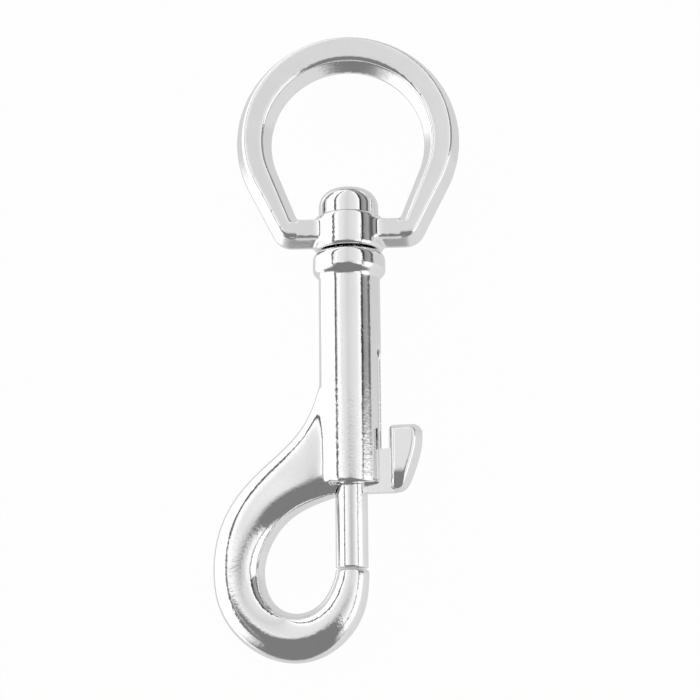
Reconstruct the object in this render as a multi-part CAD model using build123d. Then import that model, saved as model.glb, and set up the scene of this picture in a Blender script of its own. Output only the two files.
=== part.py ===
from build123d import *
import os
from math import copysign, cos, pi, radians, sin, tan

# Round-eye swivel snap hook, lying on its back. Millimetres.
# While it is built, the barrel's axis is the Y axis, Y = 0 is the barrel's open mouth,
# the eye is toward +Y and the hook hangs toward -Y and -X. Z is square to the hook's plane.

# Barrel and collar
barrel_radius = 4.95
barrel_length = 33.7
collar_radius = 5.87
collar_length = 4.05
collar_round = 1.2
mouth_round = 0.35

# Latch bolt, the bore it slides in and the slot its stem runs in
bolt_radius = 2.55
bolt_fit = 0.08
bolt_tail = 8.0
bolt_end_round = 0.35
top_wall = 5.45
slot_width = 2.6
slot_top = 21.8
stem_fit = 0.1
stem_bottom = -1.3
stem_top = 5.5
closed_gap = 0.15

# Thumb piece on the stem
thumb_left = 6.05
thumb_right = 11.4
thumb_bottom = -1.35
thumb_top = 9.4
thumb_foot = 7.6
thumb_half_depth = 2.7
thumb_flat_from = 3.4
thumb_nose_depth = 0.9
thumb_draft = 16
thumb_corner = 1.6
thumb_edge = 0.8

# Hook loop: an inner circle and an outer circle round nearly the same centre
loop_reach = 8.6
loop_drop = 13.5
loop_inner_radius = 6.18
loop_outer_radius = 13.8
tip_lip = 0.12
tip_top = -13.1
tip_land = 0.9
tip_round = 0.4
tip_overlap = 0.3
tip_step = 0.003
loop_half_depth = 3.7
loop_squareness = 2.1
arm_half_depth = 3.55
section_points = 16

# Swivel eye
eye_inner_radius = 12.5
eye_outer_radius = 18.35
eye_centre_above_bar = 13.2
eye_offset = 0.55
eye_half_depth = 3.3
eye_draft = 22
eye_edge = 0.7
inner_leg_angle = 22
outer_leg_angle = 27
bar_height = 5.1
bar_corner = 3.4
boss_radius = 5.55
boss_skirt = 0.6
boss_round = 0.5
boss_spread = 8.2
boss_fillet = 2.6
boss_land = 1.0
eye_fit = 0.08
eye_gap = 0.25
rest_turn = 8.8

# Swivel rivet
head_radius = 4.85
head_height = 4.65
head_round = 3.0
head_gap = 0.1
shank_radius = 1.9
shank_fit = 0.02
clench_gap = 0.23
clench_height = 0.9

# Bolt spring
wire_radius = 0.3
spring_wall_gap = 0.2
spring_turns = 12

tip_radius = bolt_radius + tip_lip
bore_radius = bolt_radius + bolt_fit
clench_radius = bore_radius - clench_gap
collar_top = barrel_length + collar_length
bore_length = collar_top - top_wall
boss_bottom = collar_top + eye_gap
bar_bottom = boss_bottom + boss_skirt
bar_top = bar_bottom + bar_height
eye_centre = bar_top + eye_centre_above_bar
head_bottom = bar_top + head_gap


def along_y(solid, start):
    """Stand a solid built on Z along the barrel's axis, starting at Y = start."""
    return Pos(0, start, 0) * Rot(-90, 0, 0) * solid


def rod(radius, start, end):
    """A plain cylinder on the barrel's axis from Y = start to Y = end."""
    base = Cylinder(radius, end - start, align=(Align.CENTER, Align.CENTER, Align.MIN))
    return along_y(base, start)


def rounded_rod(radius, start, end, low_round, high_round):
    """A cylinder on the barrel's axis with its two rims rounded."""
    solid = rod(radius, start, end)
    rims = solid.edges().filter_by(GeomType.CIRCLE).sort_by(Axis.Y)
    if low_round:
        solid = fillet(rims[0], low_round)
        rims = solid.edges().filter_by(GeomType.CIRCLE).sort_by(Axis.Y)
    if high_round:
        solid = fillet(rims[-1], high_round)
    return solid


def oval_section(outer, inner, half_depth, squareness):
    """A section of the hook between a point outside and a point inside the loop."""
    middle = (outer + inner) / 2
    half_width = (outer - inner).length / 2
    across = (outer - inner).normalized()
    plane = Plane(origin=middle, x_dir=across, z_dir=across.cross(Vector(0, 0, 1)))
    points = []
    for step in range(section_points):
        angle = 2 * pi * step / section_points
        wide = copysign(abs(cos(angle)) ** (2 / squareness), cos(angle))
        deep = copysign(abs(sin(angle)) ** (2 / squareness), sin(angle))
        points.append((half_width * wide, half_depth * deep))
    return plane * make_face(Spline(*points, periodic=True))


def hook_sections():
    """Sections from inside the barrel, down the arm and round the loop to the tip."""
    centre = Vector(-loop_reach, -loop_drop, 0)

    def ray(angle, radius):
        return centre + Vector(cos(radians(angle)), sin(radians(angle)), 0) * radius

    # Point outside, point inside, half the depth and how square the section is
    arm = [
        (Vector(-4.3, 17.5), Vector(1.2, 0.4), 3.1, 3.0),
        (Vector(-5.85, 12.9), Vector(-1.6, -1.35), 3.3, 3.2),
        (Vector(-8.75, 8.0), Vector(-4.6, -2.3), 3.5, 3.2),
        (Vector(-13.35, 3.75), Vector(-7.8, -3.6), arm_half_depth, 3.0),
        (Vector(-17.75, -0.5), Vector(-10.8, -5.8), arm_half_depth, 2.6),
        (Vector(-20.8, -5.5), Vector(-13.1, -9.2), loop_half_depth, 2.3),
    ]
    sections = [oval_section(*station) for station in arm]
    # Angle round the loop, how far each side lies inside its circle, and how much depth is lost
    loop = [
        (182, 0.3, 0.78, 0),
        (210, 0.2, 0.58, 0),
        (240, 0.1, 0.13, 0),
        (270, 0, 0, 0),
        (300, 0.7, 0.18, 0.2),
        (328, 1.7, 0.43, 0.6),
    ]
    for angle, outer_in, inner_in, shallower in loop:
        outer = ray(angle, loop_outer_radius - outer_in)
        inner = ray(angle, loop_inner_radius - inner_in)
        sections.append(oval_section(outer, inner, loop_half_depth - shallower, loop_squareness))
    end_radius = tip_radius - tip_step
    end = Vector(end_radius, tip_top - tip_land)
    sections.append(oval_section(end, end - Vector(2 * end_radius, 0), end_radius, 2.0))
    return sections


def make_hook_body():
    hook = loft(hook_sections())
    tip = rounded_rod(tip_radius, tip_top - tip_land - tip_overlap, tip_top, 0, tip_round)
    barrel = rounded_rod(barrel_radius, 0, barrel_length + 1, mouth_round, 0)
    collar = rounded_rod(collar_radius, barrel_length, collar_top, collar_round, collar_round)
    body = barrel + collar + (hook + tip)
    body -= rod(bore_radius, tip_top + 1, bore_length)
    body -= rod(shank_radius + shank_fit, bore_length - 1, collar_top + 1)
    slot_reach = collar_radius + 1
    slot = Pos(slot_reach / 2, (slot_top - slot_width / 2) / 2 - 2, 0) * Box(
        slot_reach, slot_top - slot_width / 2 + 4, slot_width
    )
    slot_end = Pos(slot_reach / 2, slot_top - slot_width / 2, 0) * Rot(0, 90, 0)
    slot_end = slot_end * Cylinder(slot_width / 2, slot_reach)
    return body - slot - slot_end


def eye_outline(radius, centre, leg_angle, bottom, corner):
    """Round top, straight legs closing toward the bar, and a straight bottom."""
    turn = radians(leg_angle)
    tangent = Vector(radius * cos(turn), centre - radius * sin(turn))
    foot = Vector(tangent.X - (tangent.Y - bottom) * tan(turn), bottom)
    top = ThreePointArc((tangent.X, tangent.Y), (0, centre + radius), (-tangent.X, tangent.Y))
    legs = Polyline((-tangent.X, tangent.Y), (-foot.X, bottom), (foot.X, bottom), (tangent.X, tangent.Y))
    face = make_face(top + legs)
    if corner:
        feet = face.vertices().sort_by(Axis.Y)[:2]
        face = fillet(feet, corner)
    return face


def make_boss():
    """The boss round the rivet, run out into the bar's two faces by a wide cast fillet."""
    section = Rectangle(2 * boss_spread, 2 * eye_half_depth) + Circle(boss_radius)
    necks = [corner for corner in section.vertices() if abs(corner.X) < boss_radius]
    section = fillet(necks, boss_fillet)
    block = along_y(extrude(section, bar_height - 2 * boss_land), bar_bottom + boss_land)
    return block + rounded_rod(boss_radius, boss_bottom, bar_top, boss_round, boss_round)


def make_swivel_eye():
    outer = eye_outline(eye_outer_radius, eye_centre, outer_leg_angle, bar_bottom, bar_corner)
    inner = eye_outline(eye_inner_radius, eye_centre - eye_offset, inner_leg_angle, bar_top, 0)
    half = extrude(outer, eye_half_depth, taper=eye_draft) - extrude(inner, eye_half_depth, taper=-eye_draft)
    faces = half.faces().sort_by(Axis.Z)
    half = fillet(faces[-1].edges(), eye_edge)
    ring = half + mirror(half, Plane.XY)
    eye = ring + make_boss() - rod(shank_radius + eye_fit, boss_bottom - 1, bar_top + 1)
    return Rot(0, rest_turn, 0) * eye


def make_swivel_rivet():
    head = rounded_rod(head_radius, head_bottom, head_bottom + head_height, 0, head_round)
    shank = rod(shank_radius, bore_length - clench_height / 2, head_bottom + 1)
    clench = rounded_rod(clench_radius, bore_length - clench_height, bore_length, 0.3, 0)
    return head + shank + clench


def thumb_profile():
    """The thumb piece seen from its side: flat above, its face rolling back toward the foot."""
    roll = Spline(
        (thumb_flat_from, thumb_half_depth),
        (thumb_bottom, thumb_nose_depth),
        tangents=((-1, 0), (-0.35, -1)),
    )
    top = thumb_top + 1
    foot = thumb_bottom - 1
    frame = Polyline(
        (thumb_bottom, thumb_nose_depth),
        (foot, 0),
        (foot, -1),
        (top, -1),
        (top, thumb_half_depth),
        (thumb_flat_from, thumb_half_depth),
    )
    return extrude(Plane.YZ * make_face(roll + frame), thumb_right + 2)


def make_latch_bolt():
    bolt = rounded_rod(bolt_radius, tip_top + closed_gap, bolt_tail, bolt_end_round, bolt_end_round)
    stem_half = slot_width / 2 - stem_fit
    stem_reach = thumb_left + 1
    stem = Pos(stem_reach / 2, (stem_top + stem_bottom) / 2, 0) * Box(
        stem_reach, stem_top - stem_bottom, 2 * stem_half
    )
    side = Spline(
        (thumb_right, thumb_top - 2.2),
        (thumb_right - 0.55, thumb_top / 2 - 0.8),
        (thumb_right - 1.7, 0.7),
        (thumb_foot, thumb_bottom),
        tangents=((0, -1), (-1, -0.12)),
    )
    rim = Polyline(
        (thumb_foot, thumb_bottom),
        (thumb_left, thumb_bottom),
        (thumb_left, thumb_top),
        (thumb_right, thumb_top),
        (thumb_right, thumb_top - 2.2),
    )
    face = make_face(side + rim)
    corners = face.vertices().sort_by(Axis.Y)[-2:].sort_by(Axis.X)
    face = fillet(corners[0], thumb_corner / 2)
    corners = face.vertices().group_by(Axis.Y)[-1].sort_by(Axis.X)
    face = fillet(corners[-1], thumb_corner)
    half = extrude(face, thumb_half_depth, taper=thumb_draft)
    if half.center().Z < 0:
        half = mirror(half, Plane.XY)
    half = half & thumb_profile()
    half = fillet([edge for edge in half.edges() if edge.center().Z > thumb_nose_depth / 2], thumb_edge)
    thumb = half + mirror(half, Plane.XY)
    return bolt + stem + thumb


def make_bolt_spring():
    coil_radius = bore_radius - spring_wall_gap - wire_radius
    low = bolt_tail + wire_radius
    high = bore_length - clench_height - wire_radius
    path = Helix(pitch=(high - low) / spring_turns, height=high - low, radius=coil_radius)
    start = Plane(origin=path @ 0, z_dir=path % 0)
    coil = sweep(start * Circle(wire_radius), path=path, is_frenet=True)
    return along_y(coil, low)


pieces = {
    "hook_body": make_hook_body(),
    "swivel_eye": make_swivel_eye(),
    "swivel_rivet": make_swivel_rivet(),
    "latch_bolt": make_latch_bolt(),
    "bolt_spring": make_bolt_spring(),
}

# Lay the whole hook on the ground: lowest point at Z = 0, centred in X and Y.
boxes = [solid.bounding_box() for solid in pieces.values()]
low_x = min(box.min.X for box in boxes)
high_x = max(box.max.X for box in boxes)
low_y = min(box.min.Y for box in boxes)
high_y = max(box.max.Y for box in boxes)
low_z = min(box.min.Z for box in boxes)
place = Pos(-(low_x + high_x) / 2, -(low_y + high_y) / 2, -low_z)
print("axis at", place.position, "size", high_x - low_x, high_y - low_y)

os.makedirs("parts", exist_ok=True)
for name, solid in pieces.items():
    export_step(place * solid, f"parts/{name}.step")
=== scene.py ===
import bpy
from math import cos, hypot, radians, sin, tau
from mathutils import Matrix, Vector


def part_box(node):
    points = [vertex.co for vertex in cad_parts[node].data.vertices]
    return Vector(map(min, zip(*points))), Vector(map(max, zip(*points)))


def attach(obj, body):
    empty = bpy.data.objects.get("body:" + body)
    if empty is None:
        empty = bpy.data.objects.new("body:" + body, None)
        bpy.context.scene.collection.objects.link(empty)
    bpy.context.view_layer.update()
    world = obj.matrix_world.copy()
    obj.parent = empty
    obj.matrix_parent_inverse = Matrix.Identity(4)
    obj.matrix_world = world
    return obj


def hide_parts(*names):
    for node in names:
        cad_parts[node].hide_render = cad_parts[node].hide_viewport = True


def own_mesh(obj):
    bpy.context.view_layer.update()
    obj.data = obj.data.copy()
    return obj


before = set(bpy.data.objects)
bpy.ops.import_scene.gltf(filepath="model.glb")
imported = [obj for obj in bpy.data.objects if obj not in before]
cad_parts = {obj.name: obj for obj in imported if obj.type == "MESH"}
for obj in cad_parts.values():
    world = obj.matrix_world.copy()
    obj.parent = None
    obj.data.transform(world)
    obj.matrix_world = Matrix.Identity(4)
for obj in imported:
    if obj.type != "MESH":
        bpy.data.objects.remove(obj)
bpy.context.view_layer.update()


# --- Camera ---------------------------------------------------------------------------------
# The hook lies on its back. The camera stands over it, leaning a little toward the hook end
# and square to the swivel eye, so the thumb piece's side of the body stands a touch nearer.
mouth_to_collar_top = 0.03775
mouth_to_slot_top = 0.0218
camera_distance = 0.2558
camera_lens = 82.3
lean_to_thumb = radians(10.5)
lean_to_hook = radians(12.5)
camera_roll = radians(-0.6)
sensor_width = 36

rivet_low, rivet_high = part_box("swivel_rivet")
body_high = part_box("hook_body")[1]
axis_x = (rivet_low[0] + rivet_high[0]) / 2
axis_z = (rivet_low[2] + rivet_high[2]) / 2
mouth_y = body_high[1] - mouth_to_collar_top
target = Vector((axis_x, mouth_y + mouth_to_slot_top, axis_z))

eye_normal = Vector((sin(lean_to_thumb), 0, cos(lean_to_thumb)))
along_barrel = Vector((0, 1, 0))
back = eye_normal * cos(lean_to_hook) - along_barrel * sin(lean_to_hook)
up = along_barrel * cos(lean_to_hook) + eye_normal * sin(lean_to_hook)
up = Matrix.Rotation(camera_roll, 3, back) @ up
right = up.cross(back)

camera_data = bpy.data.cameras.new("camera")
camera_data.lens = camera_lens
camera_data.sensor_width = sensor_width
camera_data.clip_start = 0.01
camera = bpy.data.objects.new("camera", camera_data)
bpy.context.scene.collection.objects.link(camera)
turn = Matrix((right, up, back)).transposed()
camera.matrix_world = Matrix.Translation(target + back * camera_distance) @ turn.to_4x4()
bpy.context.scene.camera = camera


# --- Studio light ---------------------------------------------------------------------------
# A light tent round the hook: a broad white wall on the hook's side, pale cloth overhead,
# dark strips where the cloth meets each wall, and a grey gap under the camera at the hook end.
scene = bpy.context.scene
scene.view_settings.view_transform = "Standard"

world = bpy.data.worlds.new("light_tent")
scene.world = world
world.use_nodes = True
nodes = world.node_tree.nodes
links = world.node_tree.links
nodes.clear()


def tent_math(operation, first, second):
    node = nodes.new("ShaderNodeMath")
    node.operation = operation
    for place, value in enumerate((first, second)):
        if isinstance(value, (int, float)):
            node.inputs[place].default_value = value
        else:
            links.new(value, node.inputs[place])
    return node.outputs[0]


def tent_ramp(factor, stops):
    node = nodes.new("ShaderNodeValToRGB")
    node.color_ramp.interpolation = "LINEAR"
    ramp = node.color_ramp.elements
    while len(ramp) > 1:
        ramp.remove(ramp[-1])
    for index, (place, grey) in enumerate(stops):
        stop = ramp[0] if index == 0 else ramp.new(place)
        stop.position = place
        stop.color = (grey, grey, grey, 1)
    links.new(factor, node.inputs[0])
    return node.outputs[0]


def turn_share(across, up_part):
    """An angle round the hook as a share of a turn: 0 and 1 straight down, 0.5 overhead."""
    angle = tent_math("ARCTAN2", across, up_part)
    return tent_math("ADD", tent_math("DIVIDE", angle, tau), 0.5)


def reach_share(reach):
    """A reach from -1 to 1 along one axis, as a share from 0 to 1."""
    return tent_math("ADD", tent_math("MULTIPLY", reach, 0.5), 0.5)


direction = nodes.new("ShaderNodeTexCoord").outputs["Generated"]
lean = nodes.new("ShaderNodeMapping")
lean.inputs["Rotation"].default_value = (0, -lean_to_thumb, 0)
links.new(direction, lean.inputs["Vector"])
split = nodes.new("ShaderNodeSeparateXYZ")
links.new(lean.outputs[0], split.inputs[0])
side, along, height = split.outputs

# Round the barrel's axis: 0 straight down, 0.25 hook side, 0.5 overhead, 0.75 thumb side
round_share = turn_share(side, height)
walls = tent_ramp(round_share, [
    (0.0, 0.72), (0.12, 0.74), (0.135, 1.25), (0.225, 1.25), (0.228, 0.85), (0.232, 1.25), (0.339, 1.25),
    (0.344, 0.14), (0.360, 0.14), (0.370, 1.2), (0.392, 1.15), (0.414, 0.94), (0.436, 0.90), (0.479, 0.76),
    (0.5, 0.80), (0.521, 0.84), (0.564, 0.90), (0.586, 1.0), (0.600, 1.15), (0.616, 1.15), (0.620, 0.03),
    (0.636, 0.05), (0.646, 0.30), (0.69, 0.42), (0.712, 0.12), (0.722, 0.12), (0.735, 0.72),
])
# Toward the hook end the thumb side's wall is white again, past the end of the dark strip
low_walls = tent_ramp(round_share, [
    (0.0, 0.72), (0.12, 0.74), (0.135, 1.25), (0.339, 1.25), (0.344, 0.2), (0.360, 0.2), (0.370, 1.2),
    (0.414, 1.1), (0.45, 0.84), (0.48, 0.62), (0.5, 0.60), (0.54, 0.78), (0.58, 1.1), (0.614, 1.1),
    (0.618, 0.25), (0.626, 0.25), (0.632, 1.25), (0.70, 1.25), (0.735, 0.84), (1.0, 0.72),
])
lift = tent_ramp(reach_share(along), [(0.0, 0.0), (0.565, 0.0), (0.595, 1.0)])
wall = nodes.new("ShaderNodeMixRGB")
links.new(lift, wall.inputs[0])
links.new(low_walls, wall.inputs[1])
links.new(walls, wall.inputs[2])
# The grey gap runs from under the camera, round the hook end and down past the table.
# On the thumb side it starts further down.
gap_retreat = 0.9
gap_grey = 0.23
thumb_share = tent_math("MULTIPLY", tent_math("MAXIMUM", side, 0), -gap_retreat)
toward_gap = tent_math("ADD", tent_math("MULTIPLY", along, -1), thumb_share)
gap_along = tent_ramp(turn_share(toward_gap, height), [
    (0.0, 0.0), (0.492, 0.0), (0.515, 1.0), (0.82, 1.0), (0.86, 0.0),
])
gap_side = tent_ramp(reach_share(side), [
    (0.0, 0.0), (0.08, 0.0), (0.18, 1.0), (0.76, 1.0), (0.88, 0.0),
])
gap = tent_math("MULTIPLY", gap_along, gap_side)
tent = nodes.new("ShaderNodeMixRGB")
links.new(gap, tent.inputs[0])
links.new(wall.outputs[0], tent.inputs[1])
tent.inputs[2].default_value = (gap_grey, gap_grey, gap_grey, 1)

light_path = nodes.new("ShaderNodeLightPath")
tent_light = nodes.new("ShaderNodeBackground")
links.new(tent.outputs[0], tent_light.inputs["Color"])
plain_white = nodes.new("ShaderNodeBackground")
plain_white.inputs["Color"].default_value = (1, 1, 1, 1)
choose = nodes.new("ShaderNodeMixShader")
links.new(light_path.outputs["Is Camera Ray"], choose.inputs[0])
links.new(tent_light.outputs[0], choose.inputs[1])
links.new(plain_white.outputs[0], choose.inputs[2])
links.new(choose.outputs[0], nodes.new("ShaderNodeOutputWorld").inputs[0])

# The tabletop: smooth white card, kept white where the camera sees it, with a soft shadow.
table_width = 3
card_white = (0.8, 0.8, 0.8, 1)
card_glow_share = 0.975
bpy.ops.object.select_all(action="DESELECT")
bpy.ops.mesh.primitive_plane_add(size=table_width, location=(0, 0, 0))
tabletop = bpy.context.object
tabletop.name = "tabletop"
tabletop.visible_glossy = False
card = bpy.data.materials.new("white_card")
card.use_nodes = True
card_nodes = card.node_tree.nodes
card_links = card.node_tree.links
card_nodes.clear()
card_paper = card_nodes.new("ShaderNodeBsdfDiffuse")
card_paper.inputs["Color"].default_value = card_white
card_glow = card_nodes.new("ShaderNodeEmission")
card_glow.inputs["Color"].default_value = (1, 1, 1, 1)
card_path = card_nodes.new("ShaderNodeLightPath")
card_mix = card_nodes.new("ShaderNodeMixShader")
card_share = card_nodes.new("ShaderNodeMath")
card_share.operation = "MULTIPLY"
card_share.inputs[1].default_value = card_glow_share
card_links.new(card_path.outputs["Is Camera Ray"], card_share.inputs[0])
card_links.new(card_share.outputs[0], card_mix.inputs[0])
card_links.new(card_paper.outputs[0], card_mix.inputs[1])
card_links.new(card_glow.outputs[0], card_mix.inputs[2])
card_links.new(card_mix.outputs[0], card_nodes.new("ShaderNodeOutputMaterial").inputs[0])
tabletop.data.materials.append(card)


# --- Hook body ------------------------------------------------------------------------------
# One zinc casting: barrel, collar, web and open hook. It is tumbled smooth, then plated
# bright, so the casting's faint waviness shows in what the plating reflects.
barrel_radius = 0.00495
web_half_depth = 0.0033
web_bottom = -0.001
web_top = 0.0145
web_run_out = 0.003
web_fillet = 0.0019
web_rounds = 90
skin_cell = 0.00022
body_rounds = 12
tumble_share = 0.5
same_point = 0.000001
mottle_size = 0.0005
patch_size = 0.007
wave_size = 0.003
haze_size = 0.0025
tint_size = 0.004
pit_size = 0.00025
pit_depth = 0.000004
cool_nickel = (0.85, 0.85, 0.855, 1)
plain_nickel = (0.87, 0.87, 0.87, 1)


def plating(name, mottle_depth, wave_depth, roughness, pit_share):
    """Bright nickel plate: mottled in patches, faintly wavy, with a little haze and fine pits."""
    metal = bpy.data.materials.new(name)
    metal.use_nodes = True
    tree = metal.node_tree
    tree.nodes.clear()
    surface = tree.nodes.new("ShaderNodeBsdfPrincipled")
    surface.inputs["Metallic"].default_value = 1
    tree.links.new(surface.outputs[0], tree.nodes.new("ShaderNodeOutputMaterial").inputs[0])
    place = tree.nodes.new("ShaderNodeTexCoord").outputs["Object"]

    def noise(size, detail):
        node = tree.nodes.new("ShaderNodeTexNoise")
        node.inputs["Scale"].default_value = 1 / size
        node.inputs["Detail"].default_value = detail
        tree.links.new(place, node.inputs["Vector"])
        return node.outputs["Fac"]

    def spread(value, from_low, from_high, to_low, to_high):
        node = tree.nodes.new("ShaderNodeMapRange")
        limits = {"From Min": from_low, "From Max": from_high, "To Min": to_low, "To Max": to_high}
        for socket, limit in limits.items():
            node.inputs[socket].default_value = limit
        tree.links.new(value, node.inputs["Value"])
        return node.outputs[0]

    def times(first, second):
        node = tree.nodes.new("ShaderNodeMath")
        node.operation = "MULTIPLY"
        tree.links.new(first, node.inputs[0])
        tree.links.new(second, node.inputs[1])
        return node.outputs[0]

    def bump(height, depth, under=None):
        node = tree.nodes.new("ShaderNodeBump")
        node.inputs["Distance"].default_value = depth
        tree.links.new(height, node.inputs["Height"])
        if under:
            tree.links.new(under, node.inputs["Normal"])
        return node.outputs[0]

    waves = bump(noise(wave_size, 1), wave_depth)
    patches = spread(noise(patch_size, 1), 0.4, 0.6, 0.3, 1)
    mottled = bump(times(noise(mottle_size, 2), patches), mottle_depth, waves)
    between_pits = spread(noise(pit_size, 1), 0.74 - pit_share, 0.80 - pit_share, 1, 0)
    pitted = bump(between_pits, pit_depth, mottled)
    tree.links.new(pitted, surface.inputs["Normal"])
    haze = spread(noise(haze_size, 3), 0.3, 0.7, roughness * 0.6, roughness * 1.4)
    tree.links.new(haze, surface.inputs["Roughness"])
    tint = tree.nodes.new("ShaderNodeMix")
    tint.data_type = "RGBA"
    tree.links.new(spread(noise(tint_size, 2), 0.35, 0.65, 0, 1), tint.inputs["Factor"])
    tint.inputs["A"].default_value = cool_nickel
    tint.inputs["B"].default_value = plain_nickel
    tree.links.new(tint.outputs["Result"], surface.inputs["Base Color"])
    return metal


def merged_copy(node, name):
    """A copy of the node as one joined surface, with no material yet."""
    piece = bpy.data.objects.new(name, bpy.data.objects[node].data.copy())
    bpy.context.scene.collection.objects.link(piece)
    bpy.ops.object.select_all(action="DESELECT")
    piece.select_set(True)
    bpy.context.view_layer.objects.active = piece
    bpy.ops.object.mode_set(mode="EDIT")
    bpy.ops.mesh.select_all(action="SELECT")
    bpy.ops.mesh.remove_doubles(threshold=same_point)
    bpy.ops.mesh.customdata_custom_splitnormals_clear()
    bpy.ops.object.mode_set(mode="OBJECT")
    bpy.ops.object.shade_smooth()
    piece.data.materials.clear()
    return piece


def cast_copy(node, rounds):
    """The node's surface as one smooth cast skin."""
    piece = merged_copy(node, node + "_casting")
    remesh = piece.modifiers.new("skin", "REMESH")
    remesh.mode = "VOXEL"
    remesh.voxel_size = skin_cell
    bpy.ops.object.modifier_apply(modifier=remesh.name)
    smooth = piece.modifiers.new("tumbled", "SMOOTH")
    smooth.iterations = rounds
    smooth.factor = tumble_share
    bpy.ops.object.modifier_apply(modifier=smooth.name)
    bpy.ops.object.shade_smooth()
    return piece


def soften_web(piece):
    """Run the web's two faces into the barrel with the casting's wide inside fillet."""
    seam_side = -(barrel_radius ** 2 - web_half_depth ** 2) ** 0.5
    crease = piece.vertex_groups.new(name="web_crease")
    for point in piece.data.vertices:
        height = point.co.y - mouth_y
        if not web_bottom < height < web_top:
            continue
        away = hypot(point.co.x - axis_x - seam_side, abs(point.co.z - axis_z) - web_half_depth)
        # Whole near the seam, and fading out by one and a half fillets and at the web's top
        share = min(1, max(0, 1.5 - away / web_fillet)) * min(1, (web_top - height) / web_run_out)
        if share > 0:
            crease.add([point.index], share, "REPLACE")
    smooth = piece.modifiers.new("web_fillet", "SMOOTH")
    smooth.vertex_group = crease.name
    smooth.factor = tumble_share
    smooth.iterations = web_rounds
    bpy.context.view_layer.objects.active = piece
    bpy.ops.object.modifier_apply(modifier=smooth.name)
    piece.vertex_groups.clear()


body_casting = cast_copy("hook_body", body_rounds)
soften_web(body_casting)
body_plating = plating(
    "body_plating", mottle_depth=0.000024, wave_depth=0.00001, roughness=0.07, pit_share=0
)
body_casting.data.materials.append(body_plating)
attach(body_casting, "hook")
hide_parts("hook_body")


# --- Swivel eye -----------------------------------------------------------------------------
# A second zinc casting: a round eye on a straight bar, with a boss bored for the rivet.
# It is tumbled less than the hook, so its edges stay crisper, and plated with it.
eye_rounds = 6

eye_casting = cast_copy("swivel_eye", eye_rounds)
eye_plating = plating(
    "eye_plating", mottle_depth=0.000018, wave_depth=0.000014, roughness=0.06, pit_share=0
)
eye_casting.data.materials.append(eye_plating)
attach(eye_casting, "eye")
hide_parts("swivel_eye")


# --- Swivel rivet ---------------------------------------------------------------------------
# A headed rivet turned from bar and plated. Its shank runs through the eye's boss and the top
# of the barrel, and its end is spread inside the bore so that the eye turns but can't lift.
rivet_plating = plating(
    "rivet_plating", mottle_depth=0.000008, wave_depth=0.00001, roughness=0.05, pit_share=0
)
bpy.data.objects["swivel_rivet"].data.materials[0] = rivet_plating


# --- Bolt spring ----------------------------------------------------------------------------
# A coil of spring steel wire between the spread rivet end and the latch bolt's tail, cold
# wound and left unplated.
scratch_size = 1 / 6000
scratch_depth = 0.000004
bright_roughness = 0.22
dull_roughness = 0.42
dark_wire = (0.30, 0.30, 0.31, 1)
bright_wire = (0.52, 0.52, 0.53, 1)


def spring_steel():
    """Drawn wire: darker than the plate, with fine scratches left by the die."""
    metal = bpy.data.materials.new("spring_steel")
    metal.use_nodes = True
    tree = metal.node_tree
    surface = tree.nodes["Principled BSDF"]
    surface.inputs["Metallic"].default_value = 1
    place = tree.nodes.new("ShaderNodeTexCoord").outputs["Object"]
    scratches = tree.nodes.new("ShaderNodeTexNoise")
    scratches.inputs["Scale"].default_value = 1 / scratch_size
    scratches.inputs["Detail"].default_value = 3
    tree.links.new(place, scratches.inputs["Vector"])
    bump = tree.nodes.new("ShaderNodeBump")
    bump.inputs["Distance"].default_value = scratch_depth
    tree.links.new(scratches.outputs["Fac"], bump.inputs["Height"])
    tree.links.new(bump.outputs[0], surface.inputs["Normal"])
    dull = tree.nodes.new("ShaderNodeMapRange")
    dull.inputs["To Min"].default_value = bright_roughness
    dull.inputs["To Max"].default_value = dull_roughness
    tree.links.new(scratches.outputs["Fac"], dull.inputs["Value"])
    tree.links.new(dull.outputs[0], surface.inputs["Roughness"])
    shade = tree.nodes.new("ShaderNodeValToRGB")
    shade.color_ramp.elements[0].color = dark_wire
    shade.color_ramp.elements[1].color = bright_wire
    tree.links.new(scratches.outputs["Fac"], shade.inputs[0])
    tree.links.new(shade.outputs[0], surface.inputs["Base Color"])
    return metal


spring = merged_copy("bolt_spring", "bolt_spring_wire")
spring.data.materials.append(spring_steel())
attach(spring, "hook")
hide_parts("bolt_spring")
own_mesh(spring)


# --- Latch bolt -----------------------------------------------------------------------------
# One small zinc casting: the round bolt, the stem that runs in the slot and the thumb piece.
# It is plated like the hook, with a little more haze and a few more pits.
bolt_plating = plating(
    "bolt_plating", mottle_depth=0.000014, wave_depth=0.000012, roughness=0.08, pit_share=0.01
)
bpy.data.objects["latch_bolt"].data.materials[0] = bolt_plating
